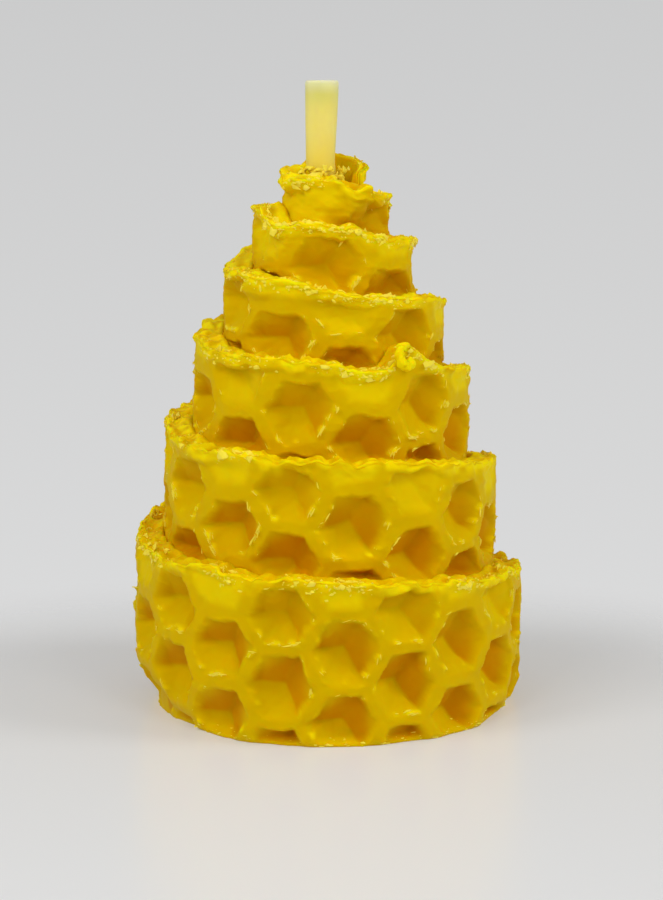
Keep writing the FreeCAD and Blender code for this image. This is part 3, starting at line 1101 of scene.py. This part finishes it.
FLOOR_HALF = 80
FLOOR_PLACE = (0, -25, 0)
AIM = (0, 0, 20)        # what the softboxes are turned to
SOFTBOXES = [           # name, place, side, power in watts
    ("left_softbox", (-140, -84, 202), 84, 0.145),
    ("front_left_softbox", (-112, -210, 140), 84, 0.132),
    ("front_right_softbox", (112, -210, 140), 84, 0.101),
    ("right_softbox", (300, -70, 230), 120, 0.39),
]
CAMERA_PLACE = (0.963, -172.97, 46.44)
CAMERA_DIP = 8.762      # degrees below level
CAMERA_LENS = 88.92     # on a sensor 36 mm wide

# Greys by how high a direction points: -1 is straight down, 0 is level and 1 is straight up. A grey's
# place is 0 at the first of the two heights under them, and 1 at the second.
SWEEP_GREYS = [(0.0, 0.70), (0.18, 0.70), (0.32, 0.645), (0.45, 0.60), (0.70, 0.35), (1.0, 0.30)]
SWEEP_HEIGHTS = (-0.4, 0.6)
TENT_GREYS = [
    (0.0, 0.74), (0.43, 0.70), (0.47, 0.12), (0.60, 0.12), (0.80, 0.20), (0.88, 0.62), (1.0, 0.62),
]
TENT_HEIGHTS = (-1, 1)
GREY_BALANCE = (1, 1.003, 1.006)


def make_floor():
    size = FLOOR_HALF * MM
    corners = [(-size, -size, 0), (size, -size, 0), (size, size, 0), (-size, size, 0)]
    mesh = bpy.data.meshes.new("floor")
    mesh.from_pydata(corners, [], [(0, 1, 2, 3)])
    floor = linked_piece("floor", mesh, floor_surface())
    floor.location = Vector(FLOOR_PLACE) * MM


def grey_ramp(nodes, links, where, stops):
    """Greys blended by height of direction: each stop is a position in 0..1 and a grey."""
    ramp = nodes.new("ShaderNodeValToRGB")
    links.new(where, ramp.inputs["Fac"])
    ramp.color_ramp.elements[0].position = stops[0][0]
    ramp.color_ramp.elements[1].position = stops[-1][0]
    for position, _ in stops[1:-1]:
        ramp.color_ramp.elements.new(position)
    for element, (_, grey) in zip(ramp.color_ramp.elements, stops):
        element.color = (*(grey * balance for balance in GREY_BALANCE), 1)
    return ramp.outputs["Color"]


def make_backdrop():
    """A pale studio all round: the sweep that the camera sees, and the light tent round the candle."""
    world = bpy.data.worlds.new("studio")
    bpy.context.scene.world = world
    world.use_nodes = True
    nodes = world.node_tree.nodes
    links = world.node_tree.links
    split = nodes.new("ShaderNodeSeparateXYZ")
    links.new(nodes.new("ShaderNodeTexCoord").outputs["Generated"], split.inputs[0])
    seen = nodes["Background"]
    seen_height = map_range(nodes, links, split.outputs["Z"], SWEEP_HEIGHTS)
    links.new(grey_ramp(nodes, links, seen_height, SWEEP_GREYS), seen.inputs["Color"])
    tent = nodes.new("ShaderNodeBackground")
    tent_height = map_range(nodes, links, split.outputs["Z"], TENT_HEIGHTS)
    links.new(grey_ramp(nodes, links, tent_height, TENT_GREYS), tent.inputs["Color"])
    choose = nodes.new("ShaderNodeMixShader")
    links.new(nodes.new("ShaderNodeLightPath").outputs["Is Camera Ray"], choose.inputs[0])
    links.new(tent.outputs[0], choose.inputs[1])
    links.new(seen.outputs[0], choose.inputs[2])
    links.new(choose.outputs[0], nodes["World Output"].inputs["Surface"])


def add_softbox(name, location, side, power):
    """A square lamp turned to the candle, which the glossy floor doesn't mirror."""
    light = bpy.data.lights.new(name, "AREA")
    light.shape = "RECTANGLE"
    light.size = side * MM
    light.size_y = side * MM
    light.energy = power
    lamp = bpy.data.objects.new(name, light)
    lamp.location = Vector(location) * MM
    lamp.visible_glossy = False
    lamp.rotation_euler = (Vector(AIM) - Vector(location)).to_track_quat("-Z", "Y").to_euler()
    bpy.context.collection.objects.link(lamp)


def make_camera():
    data = bpy.data.cameras.new("camera")
    data.sensor_width = 36
    data.lens = CAMERA_LENS
    data.clip_start = 0.01
    data.clip_end = 5
    camera = bpy.data.objects.new("camera", data)
    camera.location = Vector(CAMERA_PLACE) * MM
    camera.rotation_euler = (math.radians(90 - CAMERA_DIP), 0, 0)
    bpy.context.collection.objects.link(camera)
    bpy.context.scene.camera = camera


make_floor()
make_backdrop()
for softbox in SOFTBOXES:
    add_softbox(*softbox)
make_camera()
bpy.context.scene.view_settings.view_transform = "Standard"
